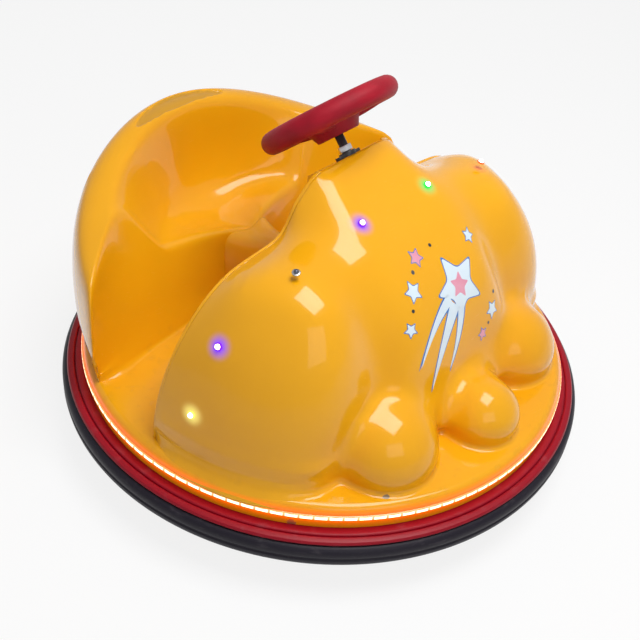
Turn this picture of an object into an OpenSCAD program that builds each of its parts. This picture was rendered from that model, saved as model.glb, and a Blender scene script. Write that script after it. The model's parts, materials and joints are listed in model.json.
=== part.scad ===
// Children's battery bumper car: one glossy moulded body on a round base, with a rubber bumper
// all round, a lit strip above it, a steered drive wheel in front and two free wheels behind.
// Millimetres. Origin on the ground under the middle of the base, front towards -Y, up +Z.

/* [Base] */
// Outer diameter of the rubber bumper
bumper_d = 1150; // [1120:5:1200]
// Depth of the bumper from its face to the skirt
bumper_w = 48; // [44:1:56]
// Height of the bumper's underside above the ground
bumper_z = 79; // [72:1:86]
// Height of the black part of the bumper
bumper_h = 49; // [44:1:56]
// Thickness of the red band on top of the bumper
band_h = 12; // [8:1:14]
// Height of the foot-well floor above the ground
floor_z = 190; // [188:1:200]
// Thickness of the moulded shell
wall = 6; // [4:0.5:8]
// Radius of the skirt's rounded shoulder
shoulder_r = 18; // [12:1:22]
// Height of the light strip
strip_h = 10; // [6:1:12]
// Thickness of the light strip
strip_t = 4; // [3:0.5:5]

/* [Cowl] */
// Height of the dash crease above the floor
crease_h = 444; // [430:1:455]
// How far the dash crease stands in front of the middle
crease_y = 20; // [14:1:28]
// Half width of the steering pedestal at the crease
pedestal_w = 114; // [106:1:120]
// Height of the side fenders above the floor
fender_h = 342; // [320:1:355]
// Half width of the raised front panel
panel_w = 186; // [176:1:196]
// Radius of the middle lobe at the foot of the front panel
lobe_r = 80; // [72:1:86]

/* [Seat] */
// Height of the seat pan's lowest point above the floor
pan_h = 118; // [108:1:126]
// Height of the rim round the back rest above the floor
back_h = 358; // [345:1:370]
// How far behind the middle the seat's front face stands at the floor
seat_y = 203; // [196:1:208]
// Half width of the moulded tunnel between the two foot-wells, at the floor
tunnel_w = 62; // [54:1:70]
// Rise of the tunnel's ridge from the seat to the bulkhead
tunnel_rise = 80; // [60:1:100]
// Width of the rounded rim round the back rest
rim_w = 70; // [64:1:76]

/* [Steering] */
// Lean of the steering column from upright
column_lean = 42; // [40:0.5:44]
// Radius of the steering wheel at the middle of its rim
wheel_r = 122; // [112:1:130]
// Radius of the steering wheel's padded rim
grip_r = 22; // [18:0.5:24]
// Distance from the dash up to the middle of the steering wheel
wheel_rise = 86; // [82:1:98]
// Diameter of the steering shaft
shaft_d = 18; // [16:1:20]

/* [Running gear] */
// Diameter of each wheel
tyre_d = 140; // [130:1:144]
// Width of each tyre
tyre_w = 44; // [40:1:50]
// Diameter of each wheel's axle
axle_d = 12; // [10:1:14]
// Diameter of the kingpin that turns the front fork
kingpin_d = 24; // [20:1:28]
// How far in front of the middle the front fork turns
fork_y = 300; // [290:1:305]
// Distance of each rear wheel from the centre plane
rear_x = 300; // [285:1:315]
// How far behind the middle the rear axle lies
rear_y = 220; // [210:1:235]
// Side of the square frame tube
tube = 24; // [20:1:26]
// Running clearance between a pin and its bore
fit = 0.06; // [0.03:0.01:0.09]

/* [Hidden] */
$fn = 96;
// Gap that keeps two faces of one body from overlapping
seam = 0.2;

// Radii of the base, from the bumper inwards
body_r = bumper_d / 2 - bumper_w;
ledge_r = body_r - shoulder_r - 14;
frame_top = floor_z - wall;
frame_low = frame_top - tube;
ring_r = ledge_r - 32;
bumper_top = bumper_z + bumper_h;
strip_z = floor_z - shoulder_r;

// Blends of distances to surfaces: the nearer one wins, rounded over the width k
function smin(a, b, k) = let (h = max(k - abs(a - b), 0) / k) min(a, b) - h * h * k / 4;
function smax(a, b, k) = -smin(-a, -b, k);
// Distance from p to an ellipsoid with centre c and half axes r
function ball(p, c, r) =
    let (q = p - c, u = [q.x / r.x, q.y / r.y, q.z / r.z], w = [u.x / r.x, u.y / r.y, u.z / r.z])
    norm(u) < 0.02 ? -min(r) : norm(u) * (norm(u) - 1) / norm(w);
// The same for a vault whose section across the car is squarer than an ellipse
square = 2.55;
function vault(p, c, r) =
    let (q = p - c, u = [abs(q.x) / r.x, q.y / r.y, abs(q.z) / r.z],
        v = norm([pow(pow(u.x, square) + pow(u.z, square), 1 / square), u.y]))
    v < 0.05 ? -min(r) : 0.9 * norm(q) * (1 - 1 / v);

// Rear edge of the cowl: a plane that leans forward from the floor to the dash crease
function edge_y(z) = -crease_y * (z - floor_z) / crease_h;
crease_z = floor_z + crease_h;
// Places on the cowl, measured in from the base circle and up from the floor
base_r = ledge_r + 10;
brow = [0, 242 - base_r, floor_z + 320];
nape = [0, 384 - base_r, floor_z + 382];
chin = [0, 136 - base_r, floor_z + 122];
crease = [0, 2 - crease_y, crease_z + 8];
pedestal_slope = 35;
pedestal_front = 345 - base_r;
function slope_normal(a, b) = let (d = b - a) [0, -d.z, d.y] / norm(d);
top_n = slope_normal(brow, nape);
face_n = slope_normal(chin, brow);
pedestal_n = [0, -sin(pedestal_slope), cos(pedestal_slope)];
// The steering pedestal: a sloping front from the crease between two flanks that spread forwards
function pedestal(p) =
    let (flank = 0.95 * (p.x - pedestal_w - 0.24 * max(0, -crease_y - p.y)))
    smax(smax((p - crease) * pedestal_n, flank, 46), pedestal_front - p.y, 60);
// The raised front panel: a sloping top, a flat face, two sides and a front that stops at the chin
function panel(p) =
    let (side = p.x - panel_w + 0.1 * (p.z - floor_z) - 20)
    smax(smax((p - brow) * top_n, (p - chin) * face_n, 80), smax(side, chin.y - p.y, 50), 80);
// Three lobes: place across and forwards, radius
lobe_rise = 24;
lobes = [[0, 90 - base_r, lobe_r], [212, 171 - base_r, lobe_r + 27]];
function lobe_dist(p) = min([for (c = lobes) ball(p, [c.x, c.y, floor_z + lobe_rise], [c.z, c.z, c.z])]);
// One side of the cowl; the other is its mirror image
fender_c = [base_r - 205, -140, floor_z + 40];
function fender(p) = ball(p, fender_c, [190, p.y < fender_c.y ? 174 : 203, fender_h - 7]);
function cowl_dist(p) =
    let (q = [abs(p.x), p.y, p.z],
        rear = vault(q, [0, 0, floor_z], [base_r + 8, base_r - 185, fender_h - 8]),
        saddle = ball(q, [0, -100, floor_z], [base_r - 125, 205, fender_h + 20]),
        barrel = ball(q, [0, 0, floor_z], [base_r, base_r, 490]),
        sides = smax(smin(smin(rear, saddle, 40), fender(q), 60), barrel, 30),
        shoulder = ball(q, [145, -112, floor_z + 205], [165, 118, 166]),
        body = smin(smin(smin(sides, shoulder, 56), panel(q), 36), pedestal(q), 30))
    smin(body, lobe_dist(q), 30);

// Where a ray from a inside the cowl meets its surface, found by halving
function reach(a, d, lo, hi, n) =
    n == 0 ? (lo + hi) / 2 :
    let (m = (lo + hi) / 2) cowl_dist(a + m * d) < 0 ? reach(a, d, m, hi, n - 1) : reach(a, d, lo, m, n - 1);
// The same in the plane of the rear edge, cut off level at the crease
function edge_point(t, psi) = let (z = floor_z + t * sin(psi)) [t * cos(psi), edge_y(z), z];
function edge_dist(p) = smax(cowl_dist(p), p.z - crease_z, 10);
function edge_reach(psi, lo, hi, n) =
    n == 0 ? (lo + hi) / 2 :
    let (m = (lo + hi) / 2)
    edge_dist(edge_point(m, psi)) < 0 ? edge_reach(psi, m, hi, n - 1) : edge_reach(psi, lo, m, n - 1);

cols = 72;
rows = 30;
halvings = 15;
spreads = 5;
heart = [0, -150, floor_z];
edge_angle0 = 4;
plan_angle0 = 168;
function edge_angle(i) = 180 - edge_angle0 - (180 - 2 * edge_angle0) * i / cols;
function plan_angle(i) = plan_angle0 + (540 - 2 * plan_angle0) * i / cols;
edge_curve = [for (i = [0 : cols])
    let (a = edge_angle(i)) edge_point(edge_reach(a, 40, bumper_d, halvings), a)];
function unit(v) = v / norm(v);
function cowl_ray(i, j) =
    let (a = plan_angle(i), low = [cos(a), sin(a), 0], high = unit(edge_curve[i] - heart))
    unit((1 - j / rows) * low + j / rows * high);
function cowl_rays() = [for (j = [0 : rows]) [for (i = [0 : cols])
    let (d = cowl_ray(i, j))
    j == rows ? edge_curve[i] : heart + reach(heart, d, 40, bumper_d, halvings) * d]];
// Spread the points evenly: each moves to the middle of its neighbours and back to the surface
function gradient(p) =
    [for (v = [[1, 0, 0], [0, 1, 0], [0, 0, 1]]) (cowl_dist(p + v) - cowl_dist(p - v)) / 2];
function snap(p, g) = p - cowl_dist(p) * g / max(0.04, g * g);
function snap_level(p) = let (g = gradient(p)) snap(p, [g.x, g.y, 0]);
function moved(g, j, i) =
    j == rows || i == 0 || i == cols ? g[j][i] :
    j == 0 ? snap_level((g[0][i - 1] + g[0][i + 1]) / 2) :
    let (m = (g[j - 1][i] + g[j + 1][i] + g[j][i - 1] + g[j][i + 1]) / 4) snap(m, gradient(m));
function spread(g, n) =
    n == 0 ? g : spread([for (j = [0 : rows]) [for (i = [0 : cols]) moved(g, j, i)]], n - 1);

// A moulded sheet from two grids of points, the outer and the inner, closed round its four edges
function sheet_faces(nj, ni) =
    let (w = ni + 1, off = (nj + 1) * w)
    concat(
        [for (j = [0 : nj - 1], i = [0 : ni - 1], f = [0, 1]) let (k = j * w + i)
            f == 0 ? [k, k + w, k + w + 1] : [k, k + w + 1, k + 1]],
        [for (j = [0 : nj - 1], i = [0 : ni - 1], f = [0, 1]) let (k = off + j * w + i)
            f == 0 ? [k, k + w + 1, k + w] : [k, k + 1, k + w + 1]],
        [for (i = [0 : ni - 1], f = [0, 1]) let (k = i)
            f == 0 ? [k, k + 1, off + k + 1] : [k, off + k + 1, off + k]],
        [for (i = [0 : ni - 1], f = [0, 1]) let (k = nj * w + i)
            f == 0 ? [k, off + k, off + k + 1] : [k, off + k + 1, k + 1]],
        [for (j = [0 : nj - 1], f = [0, 1]) let (k = j * w)
            f == 0 ? [k, off + k, off + k + w] : [k, off + k + w, k + w]],
        [for (j = [0 : nj - 1], f = [0, 1]) let (k = j * w + ni)
            f == 0 ? [k, k + w, off + k + w] : [k, off + k + w, off + k]]);
function flat(grid) = [for (row = grid) each row];

module cowl() {
    outer = spread(cowl_rays(), spreads);
    inner = [for (row = outer) [for (p = row) p - wall * unit(p - heart)]];
    color("orange") polyhedron(concat(flat(outer), flat(inner)), sheet_faces(rows, cols));
}

// A flat plate in a plane through the floor line at y0 that leans by a angle, drawn as x and height
module leaning_plate(y0, lean, from, to) {
    translate([0, y0, floor_z]) rotate([90 - lean, 0, 0])
        translate([0, 0, from]) linear_extrude(to - from) children();
}
edge_lean = -atan(crease_y / crease_h);
function rise(z, lean) = (z - floor_z) / cos(lean);

// Dash box behind the crease: the sloping dash, its rear wall and two cheeks, open towards the cowl
dash_len = 106;
dash_low = crease_z - 180;
dash_half = pedestal_w - 22;
dash_rear = [edge_y(crease_z) + dash_len * cos(column_lean), crease_z - dash_len * sin(column_lean)];
function dash_outline(t) = [
    [edge_y(crease_z) + seam - 2 * t, crease_z + 2 * t * tan(column_lean) - t / cos(column_lean)],
    [dash_rear.x - t, dash_rear.y - t * 0.6],
    [dash_rear.x - 12 - t, dash_low + t],
    [edge_y(dash_low) + seam - 2 * t, dash_low + t]];
module across(half) { rotate([90, 0, 90]) translate([0, 0, -half]) linear_extrude(2 * half) children(); }

module dash_panel() {
    color("orange") difference() {
        across(dash_half) polygon(dash_outline(0));
        across(dash_half - wall) polygon(dash_outline(wall));
        on_column(0) cylinder(d = shaft_d + 8, h = 60, center = true);
    }
}

module bulkhead() {
    pts = [for (p = edge_curve) [p.x, rise(p.z, edge_lean)]];
    color("darkorange") leaning_plate(0, edge_lean, -wall - seam, -seam) difference() {
        polygon(concat([[pts[0].x, 0]], pts, [[pts[cols].x, 0]]));
        translate([-dash_half - seam, rise(dash_low, edge_lean) - seam - wall * abs(tan(edge_lean))])
            square([2 * (dash_half + seam), crease_h]);
    }
}

// Seat: a dished pan that sweeps up into a rounded rim and down the outer wall to the floor.
// Its front is a bowed surface; front_y gives its depth at a distance out and a height above the floor.
seat_foot = body_r - shoulder_r;
arm_out = sqrt(seat_foot * seat_foot - seat_y * seat_y) + 19;
front_bow = 0.075;
front_lean = 0.46;
function front_y(x, h) =
    seat_y + front_bow * (arm_out - abs(x)) + front_lean * h * sin(180 * abs(x) / arm_out);
pan_mid = front_y(0, 0);
pan_edge = pan_h + 39;
arm_h = back_h - 86;
rim_out = seat_foot + 21;
rim_in = rim_out - rim_w;
// The front edge of one side: distance from the centre plane, height above the floor
arm_line = [[0, pan_edge - 17], [40, pan_edge - 7], [82, pan_edge - 1], [120, pan_edge], [155, pan_edge],
    [190, pan_edge], [arm_out - 272, pan_edge + 3], [arm_out - 256, arm_h - 92], [arm_out - 240, arm_h - 64],
    [arm_out - 224, arm_h - 36], [arm_out - 208, arm_h - 14], [arm_out - 190, arm_h - 3],
    [arm_out - 171, arm_h],
    [arm_out - 148, arm_h - 4], [arm_out - 124, arm_h - 12], [arm_out - 101, arm_h - 20],
    [arm_out - 76, arm_h - 29], [arm_out - 50, arm_h - 39], [arm_out - 26, arm_h - 50],
    [arm_out - 12, arm_h - 67], [arm_out - 5, arm_h - 102], [arm_out - 1, 110], [arm_out, 50],
    [arm_out - 7, 0]];
// The section on the centre plane: distance behind the middle, height above the floor
rear_line = [[pan_mid, pan_edge - 17], [pan_mid + 30, pan_h + 10], [pan_mid + 65, pan_h + 1],
    [pan_mid + 100, pan_h], [rim_in - 88, pan_h + 4], [rim_in - 62, pan_h + 16], [rim_in - 44, pan_h + 34],
    [rim_in - 30, pan_h + 60], [rim_in - 21, pan_h + 90], [rim_in - 14, back_h - 116],
    [rim_in - 9, back_h - 78], [rim_in - 5, back_h - 43], [rim_in + 1, back_h - 15],
    [rim_in + rim_w * 0.17, back_h - 4], [rim_in + rim_w * 0.37, back_h], [rim_in + rim_w * 0.57, back_h],
    [rim_in + rim_w * 0.74, back_h - 4], [rim_in + rim_w * 0.89, back_h - 12], [rim_out - 1, back_h - 26],
    [rim_out + 5, back_h - 58], [rim_out + 12, back_h - 118], [rim_out + 14, 160], [seat_foot + 25, 70],
    [seat_foot + 2, 0]];
// How far each of the last rings swells between the rear and the arms
wall_swell = [0, 3, 7, 11, 13, 10, 0];
seat_rings = len(arm_line) - 1;
lip_ring = 12;
function swell(k) = wall_swell[max(0, k - seat_rings + len(wall_swell) - 1)];
// The foot follows the skirt's rounded shoulder
foot_gap = 3.5 * seam;
function foot_h(r) =
    foot_gap - (r > seat_foot ? shoulder_r - sqrt(pow(shoulder_r, 2) - pow(r - seat_foot, 2)) : 0);
// A point on ring k, swept from the right arm (t = -1) over the rear section (0) to the left arm (1)
function seat_skin(k, t) =
    let (f = arm_line[k], g = rear_line[k], c = pan_mid * max(0, 1 - k / lip_ring),
        y = front_y(f[0], f[1]) - c, w = (t * t + pow(sin(90 * t), 2)) / 2, a = t * atan2(f[0], y),
        r = g[0] - c + (norm([f[0], y]) - g[0] + c) * w + swell(k) * pow(sin(180 * t), 2))
    [r * sin(a), c + r * cos(a), floor_z + (k == seat_rings ? foot_h(r) : g[1] + (f[1] - g[1]) * w)];
// The same moved inwards by the shell's thickness; the two front edges stay on the front surface
function seat_edge(k, side) =
    let (f = arm_line[k], d = unit(arm_line[min(k + 1, seat_rings)] - arm_line[max(k - 1, 0)]),
        q = k == 0 ? f - [0, wall] : f + wall * [d.y, -d.x])
    [side * q[0], front_y(q[0], q[1]), floor_z + q[1]];
function seat_foot_in(t) =
    let (p = seat_skin(seat_rings, t), q = p * (1 - wall / norm([p.x, p.y])), y = max(q.y, front_y(q.x, 0)))
    [q.x, y, floor_z + foot_h(norm([q.x, y]))];
turn_step = 0.02;
function seat_inner(k, t) =
    k == seat_rings ? seat_foot_in(t) :
    abs(t) == 1 || k == 0 ? seat_edge(k, t) :
    let (p = seat_skin(k, t), u = seat_skin(k + 1, t) - seat_skin(k - 1, t),
        v = seat_skin(k, t + turn_step) - seat_skin(k, t - turn_step))
    p + wall * unit(cross(u, v));
// Place round the seat of a point on a square ring of the grid
function ring_turn(a, b) =
    let (m = max(abs(a), b))
    m == 0 ? 0 : b < m ? (a < 0 ? b / m / 2 - 1 : 1 - b / m / 2) : a / m / 2;
function seat_point(a, b, inside) =
    let (k = max(abs(a), b), t = ring_turn(a, b)) inside ? seat_inner(k, t) : seat_skin(k, t);
function seat_grid(inside) =
    [for (b = [0 : seat_rings]) [for (a = [-seat_rings : seat_rings]) seat_point(a, b, inside)]];

module seat_tub() {
    color("orange") polyhedron(concat(flat(seat_grid(false)), flat(seat_grid(true))),
        sheet_faces(seat_rings, 2 * seat_rings));
}

// The seat's front wall stands just in front of the tub's front edge
front_rows = 6;
front_gap = 5 * seam;
function front_point(k, j, back) =
    let (n = seat_rings - 1, f = arm_line[abs(k)], s = j / front_rows, low = (arm_out - 8) * abs(k) / n,
        x = low + (f[0] - low) * s, h = foot_gap + (f[1] - foot_gap) * s)
    [sign(k) * x, front_y(x, h) - back, floor_z + h];
function front_grid(back) =
    let (n = seat_rings - 1) [for (j = [0 : front_rows]) [for (k = [-n : n]) front_point(k, j, back)]];
module seat_front() {
    color("darkorange") polyhedron(concat(flat(front_grid(wall)), flat(front_grid(front_gap))),
        sheet_faces(front_rows, 2 * (seat_rings - 1)));
}

// Tunnel between the foot-wells, from the bulkhead to the seat's front wall, which it meets in a flare.
// Its sections at the bulkhead and at the seat: distance out as a share of the half width, and height
// above the floor as a share of the top, which falls from the bulkhead to the middle of the seat's front edge.
tunnel_top = pan_edge - 17;
tunnel_line = [[1, 0], [0.9, 0.28], [0.78, 0.56], [0.62, 0.8], [0.42, 0.935], [0.2, 0.985], [0, 1]];
tunnel_seat = [[1, 0], [0.95, 0.35], [0.9, 0.68], [0.82, 0.92], [0.66, 1.02], [0.33, 1.02], [0, 1]];
tunnel_rows = 10;
tunnel_flare = 0.35;
tunnel_cols = 2 * (len(tunnel_line) - 1);
function tunnel_point(i, j, inset) =
    let (k = min(i, tunnel_cols - i), side = k < i ? 1 : -1, s = j / tunnel_rows, w = pow(s, 4),
        f = (1 - w) * tunnel_line[k] + w * tunnel_seat[k],
        x = side * f[0] * (tunnel_w - inset) * (1 + tunnel_flare * w),
        h = foot_gap + f[1] * (tunnel_top + tunnel_rise * pow(1 - s, 1.5) - foot_gap - inset),
        from = edge_y(floor_z + h) + wall + 4 * seam, to = front_y(x, h) - wall - 4 * seam)
    [x, from + (to - from) * s, floor_z + h];
function tunnel_grid(inset) =
    [for (j = [0 : tunnel_rows]) [for (i = [0 : tunnel_cols]) tunnel_point(i, j, inset)]];
module seat_tunnel() {
    color("orange") polyhedron(concat(flat(tunnel_grid(0)), flat(tunnel_grid(wall))),
        sheet_faces(tunnel_rows, tunnel_cols));
}

// Base: floor, skirt with its rounded shoulder, light strip and the two-part bumper
module ring(points) { rotate_extrude() polygon(points); }

module floor_pan() {
    color("orange") difference() {
        translate([0, 0, frame_top]) cylinder(r = ledge_r - seam, h = wall);
        translate([0, -fork_y, frame_top - 1]) cylinder(r = head_r + seam, h = wall + 2);
    }
}

skirt_low = bumper_z + 20;
function shoulder(r) = [for (a = [0 : 15 : 90]) [body_r - shoulder_r + r * cos(a), strip_z + r * sin(a)]];
module skirt() {
    inside = shoulder(shoulder_r - wall);
    color("orange") ring(concat([[body_r, skirt_low]], shoulder(shoulder_r),
        [[ledge_r, floor_z], [ledge_r, frame_top]],
        [for (i = [len(inside) - 1 : -1 : 0]) inside[i]], [[body_r - wall, skirt_low]]));
}

module light_strip() {
    low = strip_z - strip_h;
    color("orangered") ring([[body_r + seam / 4, low], [body_r + strip_t, low],
        [body_r + strip_t, strip_z], [body_r + seam / 4, strip_z]]);
}

bumper_in = body_r + seam;
bumper_out = bumper_d / 2;
bead_r = 16;
function bead(z, from, to) =
    [for (a = [from : 15 : to]) [bumper_out - bead_r + bead_r * cos(a), z + bead_r * sin(a)]];
module bumper_tyre() {
    color([0.13, 0.12, 0.15]) ring(concat([[bumper_in, bumper_z + 8], [bumper_in + 8, bumper_z]],
        bead(bumper_z + bead_r, -90, 0), bead(bumper_top - bead_r, 0, 60),
        [[bumper_in + 34, bumper_top], [bumper_in, bumper_top]]));
}

groove_w = 4;
module bumper_band() {
    half = bumper_in + 20;
    outer = bumper_in + 34;
    color([0.7, 0.06, 0.15]) ring([[bumper_in, bumper_top], [outer, bumper_top],
        [outer + 3, bumper_top + band_h * 0.4], [outer, bumper_top + band_h * 0.8],
        [half + groove_w, bumper_top + band_h * 0.95], [half, bumper_top + band_h * 0.6],
        [half - groove_w, bumper_top + band_h], [bumper_in, bumper_top + band_h]]);
}

// Marker lights on the cowl: plan angle from the middle of the cowl's base, height angle
bezel_r = 8;
bezel_h = 3;
lens_r = 5;
light_gap = 0.5;
function light_ray(a, e) = [cos(a) * cos(e), sin(a) * cos(e), sin(e)];
function cowl_normal(p) = let (h = 2)
    unit([for (v = [[h, 0, 0], [0, h, 0], [0, 0, h]]) cowl_dist(p + v) - cowl_dist(p - v)]);
module on_cowl(a, e) {
    d = light_ray(a, e);
    p = heart + reach(heart, d, 40, bumper_d, halvings) * d;
    n = cowl_normal(p);
    translate(p + light_gap * n) rotate([0, acos(n.z), atan2(n.y, n.x)]) children();
}
module both_sides() {
    children();
    mirror([1, 0, 0]) children();
}
marker_places = [[171, 75], [178, 52], [172, 30], [172, 13]];
module light_bezels() {
    color("silver") both_sides() for (m = marker_places) on_cowl(m[0], m[1])
        cylinder(r = bezel_r, h = bezel_h, $fn = 32);
}
module marker_lights() {
    color("violet") both_sides() for (m = marker_places) on_cowl(m[0], m[1]) translate([0, 0, bezel_h])
        intersection() { sphere(r = lens_r, $fn = 32); cylinder(r = lens_r + 1, h = lens_r + 1); }
}

// Steering column: foot on the dash behind the crease, wheel on top, joint over the fork
foot_back = 14;
column_foot = [0, edge_y(crease_z) + foot_back * cos(column_lean), crease_z - foot_back * sin(column_lean)];
joint_t = (-fork_y - column_foot.y) / sin(column_lean);
joint_z = column_foot.z + joint_t * cos(column_lean);
module on_column(t) { translate(column_foot) rotate([-column_lean, 0, 0]) translate([0, 0, t]) children(); }
hub_low = wheel_rise - 42;
hub_r = 44;
spokes = 3;
ball_r = 16;
cup_gap = 0.4;

module steering_wheel() {
    color([0.68, 0.05, 0.15]) {
        on_column(wheel_rise) rotate_extrude() translate([wheel_r, 0]) circle(grip_r);
        on_column(hub_low) cylinder(r1 = hub_r, r2 = hub_r + 12, h = 24);
        on_column(hub_low + 24) cylinder(r = hub_r + 12, h = 14);
        on_column(hub_low + 25) for (i = [0 : spokes - 1])
            rotate([0, 90, 90 + 360 / spokes * i]) cylinder(r = 12, h = wheel_r);
    }
}
module wheel_cap() {
    color([0.5, 0.03, 0.1]) on_column(hub_low + 38 + seam) cylinder(r1 = hub_r, r2 = hub_r - 8, h = 8);
}
module steering_shaft() {
    color([0.08, 0.08, 0.09]) {
        on_column(joint_t + ball_r + 4) cylinder(d = shaft_d, h = hub_low - joint_t - ball_r - 4);
        on_column(joint_t) difference() {
            sphere(r = ball_r + 7);
            sphere(r = ball_r + cup_gap);
            translate([0, 0, -ball_r - 10]) cylinder(r = 2 * ball_r, h = ball_r + 14);
        }
    }
}
module shaft_nut() {
    color("gainsboro") on_column(flange_h + 2) difference() {
        cylinder(r = shaft_d * 0.8, h = 11, $fn = 6);
        translate([0, 0, -1]) cylinder(d = shaft_d + 2 * fit, h = 13);
    }
}
flange_h = 9;
flange_w = 25;
module column_flange() {
    color([0.1, 0.1, 0.11]) on_column(seam) difference() {
        union() {
            cylinder(r = 17, h = flange_h);
            for (s = [-1, 1]) translate([s * flange_w, 0, 0]) cylinder(r = 8, h = flange_h - 3);
            translate([-flange_w, -8, 0]) cube([2 * flange_w, 16, flange_h - 3]);
        }
        translate([0, 0, -1]) cylinder(d = shaft_d + 2 * fit, h = flange_h + 2);
    }
}

// Foot-well fittings
module foot_pedal() {
    color([0.15, 0.15, 0.16]) translate([-150, 40, floor_z]) rotate([90, 0, 90]) linear_extrude(80)
        polygon([[0, 0], [110, 0], [110, 8], [10, 46], [0, 42]]);
}
switch_x = 150;
fitting_h = 150;
module on_bulkhead(x) {
    translate([x, edge_y(floor_z + fitting_h), floor_z + fitting_h]) rotate([-90 - edge_lean, 0, 0])
        translate([0, 0, wall + 2 * seam]) children();
}
// Charging socket on the seat's outer wall, at the rear between two rings of the seat
socket_d = 12;
socket_h = 18;
socket_ring = 20;
socket_rise = rear_line[socket_ring] - rear_line[socket_ring + 1];
socket_seat = rear_line[socket_ring] - socket_rise / 2;
module charge_socket() {
    color([0.12, 0.12, 0.13]) translate([0, socket_seat[0] + light_gap, floor_z + socket_seat[1]])
        rotate([-90 - atan(socket_rise[0] / socket_rise[1]), 0, 0]) difference() {
            union() {
                cylinder(d = 34, h = 4);
                cylinder(d = 24, h = socket_h);
            }
            translate([0, 0, 4]) cylinder(d = socket_d, h = socket_h);
        }
}
module power_switch() {
    color([0.6, 0.05, 0.08]) on_bulkhead(switch_x) {
        translate([-11, -16, 0]) cube([22, 32, 4]);
        translate([-7, -11, 0]) cube([14, 22, 9]);
    }
}
battery_size = [180, 150, pan_h - 18];
module battery() {
    color([0.2, 0.22, 0.25]) translate([-battery_size.x / 2, seat_y + 70, floor_z]) cube(battery_size);
}

// Frame under the floor
head_r = 24;
module square_tube(a, b) {
    d = b - a;
    translate([a.x, a.y, frame_low]) rotate([0, 0, atan2(d.y, d.x)])
        translate([0, -tube / 2, 0]) cube([norm(d), tube, tube]);
}
module chassis_ring() {
    color([0.25, 0.26, 0.28]) ring([[ring_r - tube, frame_low], [ring_r, frame_low],
        [ring_r, frame_top], [ring_r - tube, frame_top]]);
}
rail_x = 110;
function rail_end(x) = sqrt(pow(ring_r - tube - 1, 2) - pow(abs(x) + tube / 2, 2));
module cross_members() {
    color([0.3, 0.31, 0.33]) {
        for (s = [-1, 1]) square_tube([s * rail_x, -rail_end(rail_x)], [s * rail_x, rail_end(rail_x)]);
        for (y = [rear_y, -fork_y + 80, -fork_y - 60])
            square_tube([-rail_end(abs(y)), y], [rail_end(abs(y)), y]);
    }
}
module steering_head() {
    color([0.35, 0.36, 0.38]) translate([0, -fork_y, 0]) difference() {
        union() {
            translate([0, 0, frame_low]) cylinder(r = head_r, h = floor_z + 46 - frame_low);
            translate([0, 0, floor_z]) cylinder(r = head_r + 30, h = 6);
        }
        translate([0, 0, frame_low - 1]) cylinder(d = kingpin_d + 2 * fit, h = floor_z + 50 - frame_low);
    }
}

// Rear wheels on stub axles, each carried by a bracket under the frame
axle_z = tyre_d / 2;
bracket_x = rear_x - tyre_w / 2 - 8;
module rear_brackets() {
    color([0.3, 0.31, 0.33]) both_sides() difference() {
        union() {
            translate([bracket_x - 8, rear_y - 30, axle_z - 20]) cube([8, 60, frame_low - axle_z + 20]);
            translate([bracket_x - 60, rear_y - 30, frame_low - 6]) cube([60, 60, 6]);
        }
        translate([bracket_x - 20, rear_y, axle_z]) rotate([0, 90, 0]) cylinder(d = axle_d + 2 * fit, h = 40);
    }
}
module rear_axles() {
    color("silver") both_sides() translate([bracket_x - 14, rear_y, axle_z]) rotate([0, 90, 0]) {
        cylinder(d = axle_d, h = tyre_w + 34);
        cylinder(d = axle_d + 10, h = 6 - seam);
        translate([0, 0, tyre_w + 26]) cylinder(d = axle_d + 10, h = 8);
    }
}

// Wheel: a dished rim with a bored hub and a solid tyre, turning about X at the origin
rim_r = tyre_d / 2 - 22;
module rim_shape() {
    w = tyre_w / 2 - 2;
    bore = axle_d / 2 + fit;
    rotate([0, 90, 0]) rotate_extrude() polygon([[bore, -w], [bore + 10, -w], [bore + 12, -w + 8],
        [rim_r - 8, -w + 8], [rim_r - 6, -w], [rim_r, -w], [rim_r, w], [rim_r - 6, w],
        [rim_r - 8, w - 8], [bore + 12, w - 8], [bore + 10, w], [bore, w]]);
}
module tyre_shape() {
    w = tyre_w / 2;
    R = tyre_d / 2;
    rotate([0, 90, 0]) rotate_extrude() polygon([[rim_r + seam / 4, -w + 4], [rim_r + 6, -w], [R - 8, -w],
        [R - 2, -w + 5], [R, -w + 12], [R, w - 12], [R - 2, w - 5], [R - 8, w],
        [rim_r + 6, w], [rim_r + seam / 4, w - 4]]);
}
module at_rear(side) { translate([side * rear_x, rear_y, axle_z]) children(); }
module at_fork() { translate([0, -fork_y, axle_z]) children(); }
module rear_left_rim() { color("gainsboro") at_rear(1) rim_shape(); }
module rear_left_tyre() { color([0.1, 0.1, 0.1]) at_rear(1) tyre_shape(); }
module rear_right_rim() { color("gainsboro") at_rear(-1) rim_shape(); }
module rear_right_tyre() { color([0.1, 0.1, 0.1]) at_rear(-1) tyre_shape(); }
module drive_rim() { color("gainsboro") at_fork() rim_shape(); }
module drive_tyre() { color([0.1, 0.1, 0.1]) at_fork() tyre_shape(); }

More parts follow.
